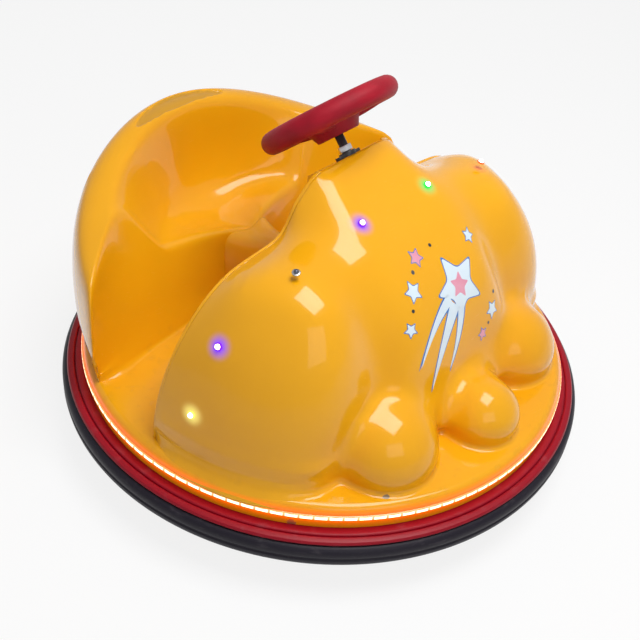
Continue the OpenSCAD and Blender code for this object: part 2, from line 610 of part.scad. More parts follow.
// Steered fork with the drive motor on its side
leg_in = tyre_w / 2 + 7;
leg_t = 8;
crown_z = tyre_d + 6;
crown_h = frame_low - 6 - crown_z;
module kingpin() {
    color("silver") translate([0, -fork_y, 0]) {
        translate([0, 0, crown_z + crown_h]) cylinder(d = kingpin_d, h = floor_z + 46 - crown_z - crown_h);
        translate([0, 0, floor_z + 46]) cylinder(d = kingpin_d - 8, h = joint_z - floor_z - 46);
        translate([0, 0, joint_z]) sphere(r = ball_r);
    }
}
module fork() {
    color([0.2, 0.2, 0.22]) at_fork() difference() {
        union() {
            translate([-leg_in - leg_t, -30, crown_z - axle_z]) cube([2 * (leg_in + leg_t), 60, crown_h]);
            for (s = [0, 1]) mirror([s, 0, 0]) translate([leg_in, -22, -22])
                cube([leg_t, 44, crown_z - axle_z + 22]);
        }
        rotate([0, 90, 0]) cylinder(d = axle_d + 2 * fit, h = 4 * leg_in, center = true);
    }
}
motor_d = 84;
motor_l = 62;
module drive_motor() {
    color([0.45, 0.46, 0.48]) at_fork() translate([leg_in + leg_t, 0, 0]) rotate([0, 90, 0]) difference() {
        cylinder(d = motor_d, h = motor_l);
        translate([0, 0, -1]) cylinder(d = axle_d + 10, h = 13);
    }
}
module drive_axle() {
    color("silver") at_fork() rotate([0, 90, 0]) {
        cylinder(d = axle_d, h = 2 * (leg_in + leg_t) + 20, center = true);
        for (s = [-1, 1]) translate([0, 0, s * (leg_in + leg_t + 5 + seam)])
            cylinder(d = axle_d + 8, h = 9, center = true);
    }
}

cowl();
dash_panel();
bulkhead();
seat_tub();
seat_front();
seat_tunnel();
floor_pan();
skirt();
light_strip();
bumper_tyre();
bumper_band();
marker_lights();
light_bezels();
column_flange();
foot_pedal();
charge_socket();
power_switch();
battery();
chassis_ring();
cross_members();
steering_head();
rear_brackets();
rear_axles();
steering_wheel();
wheel_cap();
steering_shaft();
shaft_nut();
kingpin();
fork();
drive_motor();
drive_axle();
drive_rim();
drive_tyre();
rear_left_rim();
rear_left_tyre();
rear_right_rim();
rear_right_tyre();
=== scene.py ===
"""Looks of a children's battery bumper car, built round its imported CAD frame."""
import json
import math

import bmesh
import bpy
from mathutils import Matrix, Vector
from mathutils.bvhtree import BVHTree


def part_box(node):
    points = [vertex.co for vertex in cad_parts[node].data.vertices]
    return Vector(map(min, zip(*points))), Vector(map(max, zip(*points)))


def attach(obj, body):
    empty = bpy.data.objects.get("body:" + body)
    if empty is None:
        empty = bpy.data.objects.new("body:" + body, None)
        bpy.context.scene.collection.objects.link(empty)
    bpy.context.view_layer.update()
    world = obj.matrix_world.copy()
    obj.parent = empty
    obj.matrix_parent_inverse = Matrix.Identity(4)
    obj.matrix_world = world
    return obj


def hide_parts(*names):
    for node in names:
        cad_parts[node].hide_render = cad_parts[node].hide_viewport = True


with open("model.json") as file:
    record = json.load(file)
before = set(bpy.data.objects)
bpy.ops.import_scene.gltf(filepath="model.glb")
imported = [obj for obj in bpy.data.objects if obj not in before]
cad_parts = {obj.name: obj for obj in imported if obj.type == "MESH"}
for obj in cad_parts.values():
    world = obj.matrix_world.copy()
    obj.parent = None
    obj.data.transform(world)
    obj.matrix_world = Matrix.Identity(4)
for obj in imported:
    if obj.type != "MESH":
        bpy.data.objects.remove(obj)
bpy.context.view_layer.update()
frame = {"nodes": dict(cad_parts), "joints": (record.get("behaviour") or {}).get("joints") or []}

bl_info = {
    "name": "Bumper car looks",
    "version": (1, 0, 0),
    "blender": (4, 5, 0),
    "location": "View3D > Sidebar > Bumper car",
    "description": "Dresses the CAD frame of a children's bumper car",
    "category": "Object",
}

MM = 0.001
FLOOR_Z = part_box("floor_pan")[1].z
BODY_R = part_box("skirt")[1].x
STRIP_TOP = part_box("light_strip")[1].z
STRIP_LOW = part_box("light_strip")[0].z
SHOULDER_R = FLOOR_Z - STRIP_TOP
SEAT_FOOT = BODY_R - SHOULDER_R
WALL = 6 * MM
SEAT_Y = 203 * MM
ARM_OUT = math.sqrt(SEAT_FOOT ** 2 - SEAT_Y ** 2) + 19 * MM
RING_STEPS = 240
# Slack within which a point counts as lying on the floor
ON_FLOOR = 0.001
# Where a foot's fillet starts to widen, over what distance, and by what share; how it closes at its ends
FILLET_FROM, FILLET_OVER, FILLET_GAIN, FILLET_END = 0.33, 0.1, 1.2, 0.05
# Rings of a foot's fillet: reach and height, as shares of its width
FOOT_RINGS = ((0.1, 0.75), (0.3, 0.25), (0.68, 0.03), (1.0, -0.02))
# Height below which the cowl's rows are drawn together above the fillet
LIFT_H = 0.07
# Height below which the cowl's rear edge leaves a corner open at the floor
CORNER_H = 0.045
# How far out and how far back those corners start
CORNER_X, CORNER_Y = 0.4, -0.07
# Heights above the floor between which the cowl's widest place is looked for
WIDEST = (0.03, 0.09)
# Room between the seat's foot and the skirt's face, and how fast the seat widens above it
SEAT_INSET, SEAT_SPREAD = 0.013, 2.6
# Point inside the cowl that its outer faces look away from
COWL_HEART = Vector((0, -0.15, FLOOR_Z))
# Recess on the seat's rim: its middle and where its top starts, half length and width, bow and depth
RECESS_AT = Vector((0, 0.487, 0.515))
RECESS_HALF = (0.13, 0.019)
RECESS_BOW = 1.1
RECESS_DEEP = 0.006
# Hollows in the cowl between its swells, on one side
HOLLOWS = (((-0.23, -0.097, 0.553), (0.12, 0.09, 0.06)), ((-0.07, -0.362, 0.265), (0.06, 0.04)))


class CarLooks(bpy.types.PropertyGroup):
    """Sizes and colours of the car that a user would change."""
    shell_colour: bpy.props.FloatVectorProperty(
        name="Shell", description="Colour of the moulded shell", subtype="COLOR", size=3,
        min=0, max=1, default=(0.9, 0.42, 0.006))
    shell_shade: bpy.props.FloatVectorProperty(
        name="Shell shade", description="Deeper patches in the shell's colour", subtype="COLOR", size=3,
        min=0, max=1, default=(0.82, 0.355, 0.004))
    bumper_red: bpy.props.FloatVectorProperty(
        name="Band", description="Colour of the bumper's red band", subtype="COLOR", size=3,
        min=0, max=1, default=(0.29, 0.003, 0.014))
    bumper_black: bpy.props.FloatVectorProperty(
        name="Bumper", description="Colour of the bumper's black rubber", subtype="COLOR", size=3,
        min=0, max=1, default=(0.011, 0.0085, 0.016))
    wheel_red: bpy.props.FloatVectorProperty(
        name="Steering wheel", description="Colour of the padded steering wheel", subtype="COLOR", size=3,
        min=0, max=1, default=(0.41, 0.004, 0.02))
    strip_glow: bpy.props.FloatProperty(
        name="Strip glow", description="Strength of the light strip", default=3.0, min=0, max=40)
    light_glow: bpy.props.FloatProperty(
        name="Light glow", description="Strength of the marker lights", default=9.0, min=0, max=40)
    foot_fillet: bpy.props.FloatProperty(
        name="Foot fillet", description="Width of the fillet where the cowl meets the floor",
        default=13 * MM, unit="LENGTH", min=0, max=0.03)
    star_size: bpy.props.FloatProperty(
        name="Star", description="Radius of the large printed star", default=66 * MM, unit="LENGTH",
        min=0.02, max=0.09)


class StageLooks(bpy.types.PropertyGroup):
    """Light and ground of the picture."""
    key_power: bpy.props.FloatProperty(
        name="Key", description="Power of the large soft light overhead", default=72.0, unit="POWER", min=0)
    fill_power: bpy.props.FloatProperty(
        name="Fill", description="Power of the weak soft light behind the camera", default=16.0, unit="POWER",
        min=0)
    sky: bpy.props.FloatProperty(name="Sky", description="Strength of the even light", default=0.28, min=0)
    backdrop: bpy.props.FloatProperty(
        name="Backdrop", description="Brightness of the background that the camera sees", default=0.62,
        min=0, max=1)
    ground: bpy.props.FloatVectorProperty(
        name="Ground", description="Colour of the floor", subtype="COLOR", size=3, min=0, max=1,
        default=(0.86, 0.86, 0.86))


class Wire:
    """A node's output that works in Python sums: each operator adds one Math node."""

    def __init__(self, tree, socket=None):
        self.tree = tree
        self.socket = socket

    def node(self, kind, settings=None, inputs=None, out=0):
        """Adds a node: its settings are set first, then the values or links of its sockets."""
        made = self.tree.nodes.new(kind)
        for key, value in (settings or {}).items():
            setattr(made, key, value)
        for key, value in (inputs or {}).items():
            if isinstance(value, Wire):
                self.tree.links.new(value.socket, made.inputs[key])
            else:
                made.inputs[key].default_value = value
        return Wire(self.tree, made.outputs[out])

    def math(self, operation, first, second=0.0):
        return self.node("ShaderNodeMath", {"operation": operation}, {0: first, 1: second})

    def __add__(self, other):
        return self.math("ADD", self, other)

    __radd__ = __add__

    def __sub__(self, other):
        return self.math("SUBTRACT", self, other)

    def __rsub__(self, other):
        return self.math("SUBTRACT", other, self)

    def __mul__(self, other):
        return self.math("MULTIPLY", self, other)

    __rmul__ = __mul__

    def __abs__(self):
        return self.math("ABSOLUTE", self)

    def soft(self, low, high):
        """0 below low and 1 above high, with a smooth rise between them."""
        return self.node("ShaderNodeMapRange", {"interpolation_type": "SMOOTHSTEP"},
                         {"Value": self, "From Min": low, "From Max": high})

    def mix(self, first, second):
        """One colour where the value is 0, the other where it is 1."""
        return self.node("ShaderNodeMix", {"data_type": "RGBA"}, {0: self, 6: first, 7: second}, out=2)


class Finish:
    """A material with one Principled shader, and the patterns that its finishes share."""

    def __init__(self, name, **constants):
        self.material = bpy.data.materials.new(name)
        self.material.use_nodes = True
        self.tree = self.material.node_tree
        self.shader = self.tree.nodes["Principled BSDF"]
        self.wire = Wire(self.tree)
        self.place = self.wire.node("ShaderNodeTexCoord", out="Object")
        for key, value in constants.items():
            self.shader.inputs[key.replace("_", " ")].default_value = value

    def noise(self, scale, detail=2.0, stretch=None):
        """Even noise, drawn out along the axes where a stretch is given."""
        place = self.place
        if stretch:
            place = self.wire.node("ShaderNodeMapping", {}, {"Vector": place, "Scale": stretch})
        return self.wire.node("ShaderNodeTexNoise", {}, {"Vector": place, "Scale": scale, "Detail": detail},
                              out="Fac")

    def axes(self):
        split = self.wire.node("ShaderNodeSeparateXYZ", {}, {0: self.place})
        outs = split.socket.node.outputs
        return [Wire(self.tree, outs[i]) for i in range(3)]

    def gap(self, point):
        return self.wire.node("ShaderNodeVectorMath", {"operation": "DISTANCE"},
                              {0: self.place, 1: Vector(point)}, out="Value")

    def near(self, point, radius):
        """1 inside a ragged spot round a point, 0 outside it."""
        ragged = self.gap(point) + (self.noise(160, 3) - 0.5) * radius * 1.6
        return 1 - ragged.soft(radius * 0.8, radius)

    def halo(self, point, radius):
        """Mask of a painted halo: 1 at a lit point, falling away to 0 at a distance from it."""
        fade = 1 - self.gap(point).soft(radius * 0.2, radius)
        return fade * fade

    def feed(self, **sockets):
        for key, value in sockets.items():
            self.tree.links.new(value.socket, self.shader.inputs[key.replace("_", " ")])

    def bump(self, height, strength, distance):
        normal = self.wire.node("ShaderNodeBump", {}, {"Strength": strength, "Distance": distance,
                                                       "Height": height})
        self.feed(Normal=normal)


def four(colour):
    return (*colour, 1.0)


# Reach of the light strip's painted glow on the skirt below and above it, and of a marker light's painted
# halo on the shell
GLOW_LOW, GLOW_TOP, HALO_R = 0.028, 0.019, 0.036
LIGHT_COLOURS = {"purple": (0.17, 0.012, 0.95), "green": (0.03, 0.75, 0.08), "amber": (0.9, 0.1, 0.01),
                 "warm": (0.85, 0.72, 0.12)}


def lit_places():
    """The lit marker lights: where each one is, and its colour."""
    lenses = copy_of("marker_lights")
    places = []
    for group in islands(lenses):
        centre = middle_of(group)
        if light_colour(centre):
            places.append((centre, light_colour(centre)))
    lenses.free()
    return places


def gelcoat(looks, name="shell_gelcoat", painted_strip_glow=False, chips=()):
    """Glossy moulded shell: faint clouds, smears, hair scratches, grime by the floor, painted shade in the
    recess with a dusty roughness, and painted glow round the lights.
    """
    look = Finish(name, Coat_Weight=0.75, Coat_Roughness=0.03, Coat_IOR=1.4, IOR=1.5,
                  Specular_IOR_Level=0.12, Emission_Strength=1.0)
    x, y, z = look.axes()
    cloud = look.noise(3.2, 3).soft(0.35, 0.7)
    base = (cloud * 0.55).mix(four(looks.shell_colour), four(looks.shell_shade))
    smear = look.noise(11, 4, (1, 1, 0.45))
    hair = look.noise(60, 2, (1, 14, 3)).soft(0.66, 0.71)
    grime = look.noise(42, 4).soft(0.52, 0.74) * (1 - z.soft(FLOOR_Z - 0.004, FLOOR_Z + 0.035)) * 0.12
    base = grime.mix(base, (0.36, 0.17, 0.03, 1))
    for point, radius, inside in chips:
        base = look.near(point, radius).mix(base, inside)
    # Painted shade in the lens-shaped recess on the seat's rim: its colour is painted darker there, and its
    # surface is made rougher as with dust.
    across = (y - RECESS_AT.y + x * x * RECESS_BOW) * (1 / RECESS_HALF[1])
    lens = 1 - x * x * (1 / RECESS_HALF[0] ** 2) - across * across
    recess_shade_and_dust = lens.soft(0.0, 0.15) * z.soft(RECESS_AT.z - 0.01, RECESS_AT.z) * 0.5
    base = recess_shade_and_dust.mix(base, (0.36, 0.2, 0.03, 1))
    rough = 0.16 + smear * 0.12 + hair * 0.1 + grime * 0.5 + recess_shade_and_dust * 0.4
    spill = None
    if painted_strip_glow:
        # Painted glow from the light strip: near the strip the skirt's colour is painted a deeper orange as
        # shade, and the strip's orange light is emitted by the skirt itself, strongest right next to it.
        below = (STRIP_LOW - z).soft(-0.004, GLOW_LOW)
        above = (z - STRIP_TOP).soft(-0.004, GLOW_TOP)
        out = (x * x + y * y).soft((BODY_R - 0.03) ** 2, (BODY_R - 0.004) ** 2)
        glow = (1 - below) * (1 - above) * out
        base = (glow * 0.85).mix(base, (0.72, 0.1, 0.002, 1))
        hot = (1 - (STRIP_LOW - z).soft(0.0, 0.013)) * (1 - (z - STRIP_TOP).soft(0.0, 0.013)) * out
        spill = glow.mix((0, 0, 0, 1), (0.55, 0.075, 0.0, 1))
        spill = hot.mix(spill, (1.0, 0.075, 0.0, 1))
    # Painted glow round each lit marker light: the shell's colour is painted darker there, and the light's
    # colour is emitted by the shell.
    for point, colour in () if painted_strip_glow else lit_places():
        near = look.halo(point, HALO_R)
        base = near.mix(base, (0.25, 0.14, 0.1, 1))
        spill = near.mix(spill or (0, 0, 0, 1), four(LIGHT_COLOURS[colour]))
    look.feed(Base_Color=base, Roughness=rough, Emission_Color=spill)
    look.bump(look.noise(420, 2), 0.05, 0.0006)
    return look.material


def rubber(name, colour, dust, rough):
    """Bumper rubber with a fine skin, dust and scuff marks along the ring."""
    look = Finish(name, IOR=1.5, Specular_IOR_Level=0.22)
    scuff = look.noise(26, 5, (1, 1, 5)).soft(0.55, 0.78)
    speck = look.noise(210, 3).soft(0.62, 0.8)
    worn = scuff * 0.4 + speck * 0.25
    look.feed(Base_Color=worn.mix(four(colour), four(dust)), Roughness=rough + scuff * 0.16 - speck * 0.05)
    look.bump(look.noise(700, 3), 0.18, 0.0006)
    return look.material


def grained(name, colour, scale=620.0, rough=0.46):
    """Padded or moulded plastic with a leather-like grain."""
    look = Finish(name, IOR=1.48, Specular_IOR_Level=0.28)
    cell = look.wire.node("ShaderNodeTexVoronoi", {"feature": "DISTANCE_TO_EDGE"},
                          {"Vector": look.place, "Scale": scale}, out="Distance")
    patch = look.noise(20, 3)
    dark = [c * 0.72 for c in colour]
    look.feed(Base_Color=patch.soft(0.3, 0.75).mix(four(dark), four(colour)),
              Roughness=rough + patch * 0.12)
    look.bump(cell.soft(0.0, 0.25), 0.35, 0.0004)
    return look.material


def painted(name, colour, rough=0.42):
    """Painted frame steel with dust and small rust specks."""
    look = Finish(name, IOR=1.5)
    dust = look.noise(14, 5).soft(0.45, 0.8)
    rust = look.noise(95, 4).soft(0.68, 0.76)
    base = (dust * 0.45).mix(four(colour), (0.2, 0.18, 0.16, 1))
    look.feed(Base_Color=(rust * 0.7).mix(base, (0.2, 0.07, 0.02, 1)),
              Roughness=rough + dust * 0.25 + rust * 0.2)
    look.bump(look.noise(300, 3), 0.12, 0.0005)
    return look.material


def plated(name, colour, rough=0.26):
    """Zinc or chrome plated steel with turning marks and dull patches."""
    look = Finish(name, Metallic=1.0)
    dull = look.noise(48, 4)
    marks = look.noise(340, 2, (1, 1, 0.08))
    dark = [c * 0.78 for c in colour]
    look.feed(Base_Color=dull.soft(0.35, 0.75).mix(four(colour), four(dark)),
              Roughness=rough + dull * 0.16 + marks * 0.06)
    look.bump(marks, 0.06, 0.0003)
    return look.material


def printed(name, colour):
    """Printed sticker film, slightly faded in patches."""
    look = Finish(name, Coat_Weight=0.7, Coat_Roughness=0.08, IOR=1.48)
    fade = look.noise(24, 4)
    pale = [c + (1 - c) * 0.12 for c in colour]
    look.feed(Base_Color=fade.soft(0.4, 0.8).mix(four(colour), four(pale)), Roughness=0.24 + fade * 0.12)
    return look.material


def lit(name, colour, strength, core):
    """A lit lens: coloured glow, brighter to white in its middle. Also gives a lit light's bezel its painted
    glow, with no white middle.
    """
    look = Finish(name, Roughness=0.3, Specular_IOR_Level=0.2, Emission_Strength=strength)
    speck = look.noise(900, 2)
    dim = [c * 0.2 for c in colour]
    look.feed(Base_Color=speck.mix(four(dim), four(colour)),
              Emission_Color=(core * (0.85 + speck * 0.3)).mix(four(colour), (1, 1, 1, 1)))
    return look.material


def strip_light(strength):
    """The light strip: a chain of white-hot links with a red-orange edge and darker joins."""
    look = Finish("strip_light", Roughness=0.25, Coat_Weight=0.5, Emission_Strength=strength)
    x, y, z = look.axes()
    links = 120
    turn = look.wire.math("ARCTAN2", y, x) * (links / (2 * math.pi))
    inside = look.wire.math("FRACT", turn + 100.0)
    join = abs(inside - 0.5).soft(0.36, 0.46) * 0.9
    scallop = abs(look.wire.math("FRACT", turn + 100.5) - 0.5)
    middle = (STRIP_TOP + STRIP_LOW) / 2
    flank = (abs(z - middle) + scallop * 0.0016).soft(0.0026, 0.005)
    cool = look.wire.math("MAXIMUM", flank, join)
    colour = cool.mix((1.0, 0.72, 0.4, 1), (0.42, 0.05, 0.0035, 1))
    look.feed(Base_Color=cool.mix((0.9, 0.85, 0.75, 1), (0.9, 0.3, 0.1, 1)), Emission_Color=colour)
    return look.material


def copy_of(node, weld=2e-6):
    """A welded copy of a CAD node's mesh, ready for bmesh operators."""
    bm = bmesh.new()
    bm.from_mesh(frame["nodes"][node].data)
    bmesh.ops.remove_doubles(bm, verts=bm.verts, dist=weld)
    return bm


def sharp_edges(bm, degrees):
    limit = math.radians(degrees)
    return [e for e in bm.edges if len(e.link_faces) == 2 and e.calc_face_angle(0.0) > limit]


def rounded(bm, width, segments=2, degrees=28):
    """Bevels every edge that is sharper than the given angle."""
    bmesh.ops.bevel(bm, geom=sharp_edges(bm, degrees), offset=width, offset_type="OFFSET", affect="EDGES",
                    segments=segments, profile=0.5, material=-1, clamp_overlap=True)


def placed(name, data):
    """A new object at the origin, in the scene."""
    made = bpy.data.objects.new(name, data)
    bpy.context.scene.collection.objects.link(made)
    return made


def piece(name, bm, body, materials, replaced=(), smooth=32):
    """Turns a bmesh into an object that rides on a body and stands for CAD nodes."""
    mesh = bpy.data.meshes.new(name)
    bm.normal_update()
    bm.to_mesh(mesh)
    bm.free()
    for material in materials:
        mesh.materials.append(material)
    mesh.polygons.foreach_set("use_smooth", [True] * len(mesh.polygons))
    mesh.set_sharp_from_angle(angle=math.radians(smooth))
    made = placed(name, mesh)
    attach(made, body)
    if replaced:
        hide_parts(*replaced)
    return made


def subdivided(made, levels):
    change = made.modifiers.new("Smooth", "SUBSURF")
    change.levels = levels
    change.render_levels = levels
    return made


def spun(profile, steps):
    """A closed profile of radius and height, in millimetres, spun round the upright axis."""
    bm = bmesh.new()
    verts = [bm.verts.new((r * MM, 0.0, z * MM)) for r, z in profile]
    edges = [bm.edges.new(pair) for pair in zip(verts, verts[1:] + verts[:1])]
    bmesh.ops.spin(bm, geom=verts + edges, cent=(0, 0, 0), axis=(0, 0, 1), dvec=(0, 0, 0),
                   angle=2 * math.pi, steps=steps, use_merge=True, use_duplicate=False)
    bmesh.ops.remove_doubles(bm, verts=bm.verts, dist=1e-6)
    bmesh.ops.recalc_face_normals(bm, faces=bm.faces)
    return bm


def arc(radius, height, bend, degrees):
    """Points of a rounded profile: an arc round a radius and height."""
    return [(radius + bend * math.cos(math.radians(t)), height + bend * math.sin(math.radians(t)))
            for t in degrees]


def joined(first, *others):
    """Adds the other bmeshes to the first one."""
    for other in others:
        mesh = bpy.data.meshes.new("part")
        other.to_mesh(mesh)
        other.free()
        first.from_mesh(mesh)
        bpy.data.meshes.remove(mesh)
    return first


def joint_place(name):
    """Where a joint turns: its point, with the upright axis turned on to its axis."""
    joint = next(j for j in frame["joints"] if j["name"] == name)
    turn = Vector((0, 0, 1)).rotation_difference(Vector(joint["axis"]))
    return Matrix.Translation(joint["pos_m"]) @ turn.to_matrix().to_4x4()


def foot_drop(radius):
    """How far the skirt's rounded shoulder lies below the floor at a distance from the middle."""
    over = min(max(radius - SEAT_FOOT, 0.0), SHOULDER_R)
    return SHOULDER_R - math.sqrt(SHOULDER_R ** 2 - over ** 2)


def share_of(value):
    return min(max(value, 0.0), 1.0)


def fillet_width(across, width):
    """Width of a foot's fillet, which grows towards the car's two sides."""
    return width * (1 + FILLET_GAIN * share_of((abs(across) - FILLET_FROM) / FILLET_OVER))


def lifted(bm, width):
    """Draws the lowest rows of a sheet up together, to make room for the fillet at its foot."""
    for v in bm.verts:
        height = v.co.z - FLOOR_Z
        if height < LIFT_H:
            start = FOOT_RINGS[0][1] * fillet_width(v.co.x, width)
            v.co.z = FLOOR_Z + start + (LIFT_H - start) * height / LIFT_H


def flare(bm, edges, width):
    """Turns the foot of a sheet outwards in a soft fillet that lies down on the floor."""
    bm.normal_update()
    low = {v for e in edges for v in e.verts}
    side = {}
    for v in low:
        out = sum((f.normal for f in v.link_faces), Vector())
        side[v.co.copy().freeze()] = Vector((out.x, out.y, 0)).normalized()
    ends = [v.co.copy() for v in low if sum(v in e.verts for e in edges) == 1]
    rings = [{v: (v.co.copy(), side[v.co.copy().freeze()]) for v in low}]
    for _ in range(3):
        made = bmesh.ops.extrude_edge_only(bm, edges=edges)["geom"]
        edges = [g for g in made if isinstance(g, bmesh.types.BMEdge)]
        kept = {tuple(v.co): rings[-1][v] for v in rings[-1]}
        rings.append({v: kept[tuple(v.co)] for v in made if isinstance(v, bmesh.types.BMVert)})
    for ring, (reach, rise) in zip(rings, FOOT_RINGS):
        for v, (at, out) in ring.items():
            wide = fillet_width(at.x, width)
            open_up = min(1.0, min((at - end).length for end in ends) / FILLET_END)
            v.co = at + out * wide * reach * open_up
            v.co.z = FLOOR_Z + wide * rise - foot_drop(math.hypot(v.co.x, v.co.y))


def corners_closed(bm):
    """Runs the cowl's skin on into the two corners between its rear edge and the floor."""
    for side in (-1, 1):
        edges = [e for e in bm.edges if e.is_boundary and max(v.co.z for v in e.verts) > FLOOR_Z + ON_FLOOR
                 and all(v.co.x * side > CORNER_X and v.co.z < FLOOR_Z + CORNER_H and v.co.y > CORNER_Y
                         for v in e.verts)]
        top = max((v for e in edges for v in e.verts), key=lambda v: v.co.z).co
        corner = Vector((top.x, top.y, FLOOR_Z + 0.0002))
        made = bmesh.ops.extrude_edge_only(bm, edges=edges)["geom"]
        for v in made:
            if isinstance(v, bmesh.types.BMVert):
                v.co = corner
    bmesh.ops.remove_doubles(bm, verts=bm.verts, dist=1e-5)
    bmesh.ops.recalc_face_normals(bm, faces=bm.faces)
    bm.normal_update()
    if sum(f.normal.dot(f.calc_center_median() - COWL_HEART) * f.calc_area() for f in bm.faces) < 0:
        bmesh.ops.reverse_faces(bm, faces=bm.faces)


def sides_dropped(bm):
    """Lets the cowl's two sides fall straight to the floor below their widest place."""
    def turn(co):
        return math.atan2(co.y, co.x)
    wide = [(turn(v.co), math.hypot(v.co.x, v.co.y)) for v in bm.verts
            if WIDEST[0] < v.co.z - FLOOR_Z < WIDEST[1] and abs(v.co.x) > 0.25]
    for v in bm.verts:
        height = v.co.z - FLOOR_Z
        share = share_of((abs(v.co.x) - 0.32) / 0.06) * share_of((0.075 - height) / 0.02)
        if share > 0:
            reach = math.hypot(v.co.x, v.co.y)
            most = max((r for a, r in wide if abs(a - turn(v.co)) < 0.06), default=reach)
            v.co.xy *= 1 + share * max(most - reach, 0.0) / reach


def outer_skin(bm, heart):
    """The faces of a closed sheet that look away from a point inside it, without its thin rims."""
    bm.normal_update()
    skin = set()
    for f in bm.faces:
        centre = f.calc_center_median()
        foot = f.normal.z < -0.9 and centre.z < FLOOR_Z + ON_FLOOR
        rear = f.normal.y > 0.9 and centre.y > -0.03
        if f.normal.dot((centre - heart).normalized()) > 0.02 and not foot and not rear:
            skin.add(f)
    return skin


def on_front(co):
    """Whether a point lies on the bowed front surface of the seat."""
    out = abs(co.x)
    depth = SEAT_Y + 0.075 * (ARM_OUT - out) + 0.46 * (co.z - FLOOR_Z) * math.sin(math.pi * out / ARM_OUT)
    return abs(co.y - depth) < 0.0004


def flat_faces(bm):
    """Joins the triangles of each flat face, so that bevels run clean."""
    bmesh.ops.dissolve_limit(bm, angle_limit=math.radians(0.6), verts=bm.verts, edges=bm.edges,
                             use_dissolve_boundaries=False)
    return bm


def dressed(node, body, finish, width):
    """A CAD node with its edges rounded."""
    bm = flat_faces(copy_of(node))
    rounded(bm, width)
    return piece(node + "_finished", bm, body, [finish], [node])


def eased(bm, place, reaches, times):
    """Smooths a sheet round a place and its mirror image, most at the middle."""
    for reach in reaches:
        near = [v for v in bm.verts if not v.is_boundary
                and (Vector((-abs(v.co.x), v.co.y, v.co.z)) - Vector(place)).length < reach]
        for _ in range(times):
            bmesh.ops.smooth_vert(bm, verts=near, factor=0.5, use_axis_x=True, use_axis_y=True,
                                  use_axis_z=True)


def settled(made):
    """Turns a piece's modifiers into its mesh, so that its finer points can be moved."""
    graph = bpy.context.evaluated_depsgraph_get()
    mesh = bpy.data.meshes.new_from_object(made.evaluated_get(graph))
    made.modifiers.clear()
    made.data = mesh
    return mesh


def drawn_in(mesh):
    """Keeps the seat's foot on the shoulder, clear of the light strip below it."""
    for v in mesh.vertices:
        reach = math.hypot(v.co.x, v.co.y)
        most = BODY_R - SEAT_INSET + SEAT_SPREAD * max(v.co.z - FLOOR_Z, 0.0) ** 2
        if reach > most:
            v.co.xy *= most / reach


def pressed_lens(mesh):
    """Presses the shallow lens-shaped recess into the top of the seat's rim, at the back."""
    for v in mesh.vertices:
        if v.co.z < RECESS_AT.z or v.co.y < 0.4:
            continue
        across = (v.co.y - RECESS_AT.y + RECESS_BOW * v.co.x ** 2) / RECESS_HALF[1]
        edge = 1 - (v.co.x / RECESS_HALF[0]) ** 2 - across ** 2
        if edge > 0:
            v.co.z -= RECESS_DEEP * min(edge / 0.15, 1.0)


def thickened(made, depth):
    change = made.modifiers.new("Wall", "SOLIDIFY")
    change.thickness = depth
    change.offset = -1.0
    return made


def quads(bm):
    """Joins pairs of triangles, so that the sheet subdivides evenly."""
    bmesh.ops.join_triangles(bm, faces=bm.faces, angle_face_threshold=0.9, angle_shape_threshold=1.2)


def middle_of(group):
    """Middle of a group of faces."""
    return sum((f.calc_center_median() for f in group), Vector()) / len(group)


def islands(bm):
    """Groups of faces that hang together."""
    left = set(bm.faces)
    groups = []
    while left:
        stack = [left.pop()]
        group = list(stack)
        while stack:
            for e in stack.pop().edges:
                for f in e.link_faces:
                    if f in left:
                        left.discard(f)
                        stack.append(f)
                        group.append(f)
        groups.append(group)
    return groups


def light_colour(centre):
    """Colour of the marker light at a place; None for the one that is out."""
    if abs(centre.x) < 0.2:
        return "purple" if centre.x < 0 else "green"
    if centre.z > 0.5:
        return None if centre.x < 0 else "amber"
    if centre.z > 0.37:
        return "purple" if centre.x < 0 else "green"
    return "warm"


def tread(node, body, finish):
    """A solid tyre with ribs round its tread, in the place of a CAD tyre."""
    low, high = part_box(node)
    half = (high.x - low.x) / 2 / MM
    out = (high.z - low.z) / 2 / MM
    inside = out - 22 + 0.05
    ribs = []
    for at in (-7.5, 0, 7.5):
        ribs += [(out, at - 1.8), (out - 2.4, at - 1.2), (out - 2.4, at + 1.2), (out, at + 1.8)]
    near = [(inside, -half + 4), (inside + 6, -half), (out - 8, -half), (out - 2, -half + 5),
            (out, -half + 11)]
    far = [(r, -z) for r, z in reversed(near)]
    bm = spun([*near, *ribs, *far], 72)
    bmesh.ops.rotate(bm, cent=(0, 0, 0), matrix=Matrix.Rotation(math.radians(90), 3, "Y"), verts=bm.verts)
    bmesh.ops.translate(bm, vec=(low + high) / 2, verts=bm.verts)
    piece(node + "_ribbed", bm, body, [finish], [node])


# The front panel's plane: its middle, the way up it and the way out of it
PANEL_AT = Vector((0, -0.316, 0.411))
PANEL_UP = Vector((0, 0.472, 0.8816))
PANEL_OUT = Vector((0, -0.8816, 0.472))
STAR_AT = (0.034, 0.048)
# Tail stripes behind the star: length, angle where they start, bend, half width
TAILS = ((0.15, 196, 0.055, 0.011), (0.175, 222, 0.03, 0.014), (0.13, 250, -0.02, 0.01))
# Small stars: place across and up the panel, radius, turn, whether pink
SMALL_STARS = (((-0.088, 0.088), 0.021, 4, False), ((-0.04, 0.137), 0.017, 30, True),
               ((0.116, -0.042), 0.019, 20, False), ((-0.128, 0.028), 0.014, 12, False),
               ((0.118, 0.118), 0.015, 40, False), ((0.075, -0.078), 0.013, 8, True))
# Dots: place across and up the panel, radius
DOTS = (((-0.066, 0.118), 0.0042), ((-0.108, 0.058), 0.0036), ((0.132, -0.01), 0.004),
        ((0.098, -0.064), 0.0034), ((0.01, 0.142), 0.0036))
